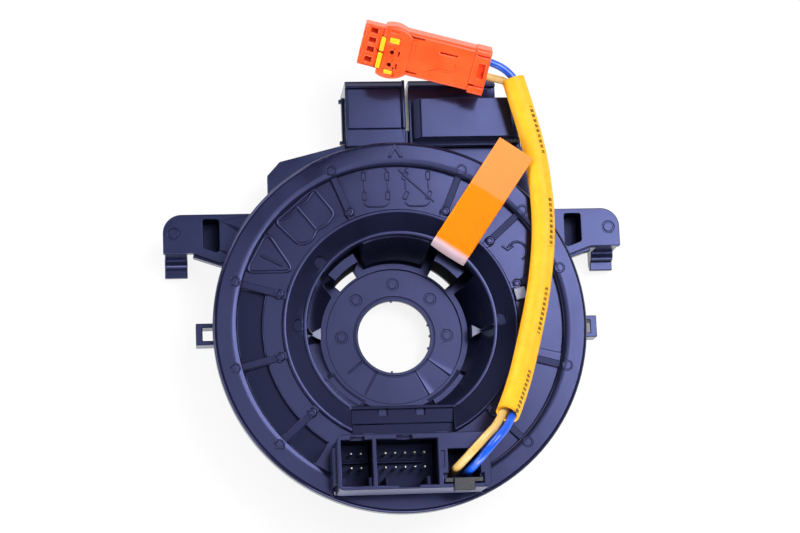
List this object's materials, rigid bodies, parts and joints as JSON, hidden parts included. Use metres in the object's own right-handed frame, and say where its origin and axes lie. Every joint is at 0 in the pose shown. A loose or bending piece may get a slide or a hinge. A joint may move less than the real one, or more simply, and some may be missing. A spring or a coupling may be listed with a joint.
{
  "type": "steering clock spring",
  "caption": "Round steering-column contact unit: a rotor turns in a fixed case with ears, a ribbon cable winds inside and a sleeved lead ends in a locking connector.",
  "frame": {"origin": "on the steering axis, at the rear face of the hub's floor round the shaft bore", "axes": "+Z along the steering axis towards the driver, +Y up the column towards the two column-side connectors, +X to the driver's right"},
  "size_m": [0.1252, 0.1337, 0.0483],
  "materials": {
    "case_black": "fine matt, moulded glass-filled plastic",
    "cover_black": "fine matt, moulded",
    "disc_black": "spark-eroded matt, moulded",
    "hub_black": "satin, moulded acetal",
    "cam_grey": "satin, moulded acetal",
    "film": "smooth low-friction film",
    "ribbon": "smooth polyester film over flat copper",
    "tin": "bright tin plate",
    "sleeve_yellow": "thin satin sleeve",
    "wire_yellow": "satin insulation",
    "wire_blue": "satin insulation",
    "connector_orange": "satin, moulded",
    "lock_yellow": "satin, moulded",
    "tape_orange": "stiff smooth strip, pale at its fold"
  },
  "bodies": {
    "stator": {"stator_case": "case_black", "back_cover": "cover_black", "slip_sheet": "film", "ribbon_outer_clip": "case_black", "column_connector_left": "case_black", "column_connector_right": "case_black", "column_pins_left": "tin", "column_pins_right": "tin"},
    "rotor": {"rotor_disc": "disc_black", "rotor_hub": "hub_black", "cancel_cam": "cam_grey", "ribbon_cable": "ribbon", "ribbon_inner_clip": "cam_grey", "steering_connector_housing": "disc_black", "steering_pins": "tin", "wire_clamp": "disc_black", "lead_sleeve": "sleeve_yellow", "lead_wire_yellow": "wire_yellow", "lead_wire_blue": "wire_blue", "airbag_connector_body": "connector_orange", "airbag_connector_cap": "connector_orange", "airbag_terminals": "tin", "locking_tape": "tape_orange"},
    "airbag_lock": {"airbag_connector_lock": "lock_yellow"}
  },
  "joints": [
    {"name": "rotor_turn", "type": "hinge", "parent": "stator", "child": "rotor", "pos_m": [0, 0, 0], "axis": [0, 0, 1], "range_deg": [-900, 900], "deforming": ["ribbon_cable"]},
    {"name": "lock_slide", "type": "slide", "parent": "rotor", "child": "airbag_lock", "axis": [-0.1167, -0.4387, 0.891], "range_m": [0, 0.0022]}
  ]
}
